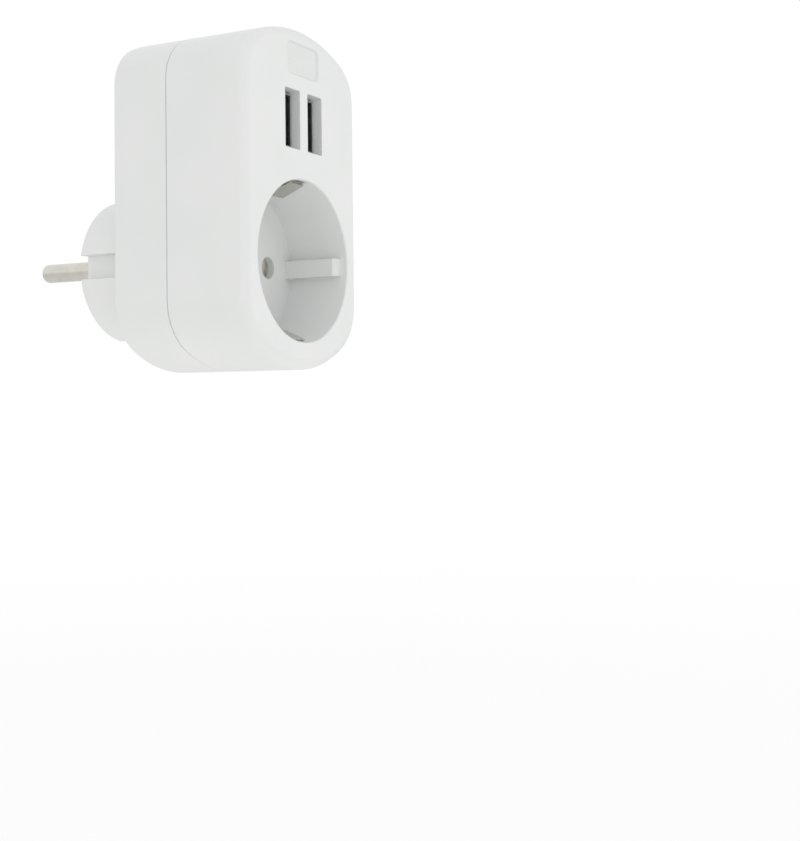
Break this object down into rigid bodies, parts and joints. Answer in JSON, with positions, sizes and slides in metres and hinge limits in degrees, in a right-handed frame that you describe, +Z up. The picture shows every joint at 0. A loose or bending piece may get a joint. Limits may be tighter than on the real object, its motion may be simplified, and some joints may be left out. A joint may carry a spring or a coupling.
{
  "type": "socket adapter with usb charger",
  "caption": "White plug-in adapter with an earthed round socket in front, upright USB charging ports above it and an earthed pin plug behind.",
  "frame": {"origin": "on the common axis of plug and socket, at the housing's flat back face", "axes": "+Y along the plug pins into the wall, -Y out of the socket, +X to the right seen from the front, +Z up towards the USB ports"},
  "size_m": [0.05, 0.0748, 0.0841],
  "materials": {
    "housing": "satin white moulding",
    "screw_steel": "zinc plated",
    "carrier_plastic": "moulded",
    "shutter_plastic": "moulded",
    "spring_steel": "drawn wire",
    "plated_brass": "nickel plated, turned",
    "contact_brass": "stamped",
    "plated_strip": "nickel plated strip",
    "port_shell": "tin plated sheet",
    "port_insulator": "moulded",
    "port_contact": "gold flashed",
    "board": "solder mask",
    "dark_plastic": "moulded",
    "ferrite": "sintered",
    "winding_tape": "polyester tape",
    "can_sleeve": "shrink sleeve",
    "disc_coating": "dipped",
    "resistor_coating": "lacquered",
    "link_sleeve": "sleeved wire"
  },
  "bodies": {
    "housing": {"front_shell": "housing", "rear_shell": "housing", "housing_screws": "screw_steel", "contact_carrier": "carrier_plastic", "shutter_spring": "spring_steel", "left_plug_pin": "plated_brass", "right_plug_pin": "plated_brass", "left_contact": "contact_brass", "right_contact": "contact_brass", "socket_earth_bracket": "plated_strip", "plug_earth_bracket": "plated_strip", "earth_rivet": "contact_brass", "left_usb_shell": "port_shell", "right_usb_shell": "port_shell", "left_usb_insulator": "port_insulator", "right_usb_insulator": "port_insulator", "left_usb_contacts": "port_contact", "right_usb_contacts": "port_contact", "usb_board": "board", "power_board": "board", "board_link_pins": "port_contact", "board_link_spacer": "dark_plastic", "transformer_core": "ferrite", "transformer_bobbin": "dark_plastic", "transformer_winding": "winding_tape", "input_capacitor": "can_sleeve", "output_capacitor": "can_sleeve", "suppression_capacitor": "disc_coating", "fuse_resistor": "resistor_coating", "bridge_rectifier": "dark_plastic", "controller_chip": "dark_plastic", "left_supply_link": "link_sleeve", "right_supply_link": "link_sleeve"},
    "shutter": {"shutter_disc": "shutter_plastic"}
  },
  "joints": [
    {"name": "shutter_turn", "type": "hinge", "parent": "housing", "child": "shutter", "pos_m": [0, -0.0178, 0], "axis": [0, -1, 0], "range_deg": [0, 40], "stiffness_Nm_per_rad": 0.004, "deforming": ["shutter_spring"]}
  ]
}
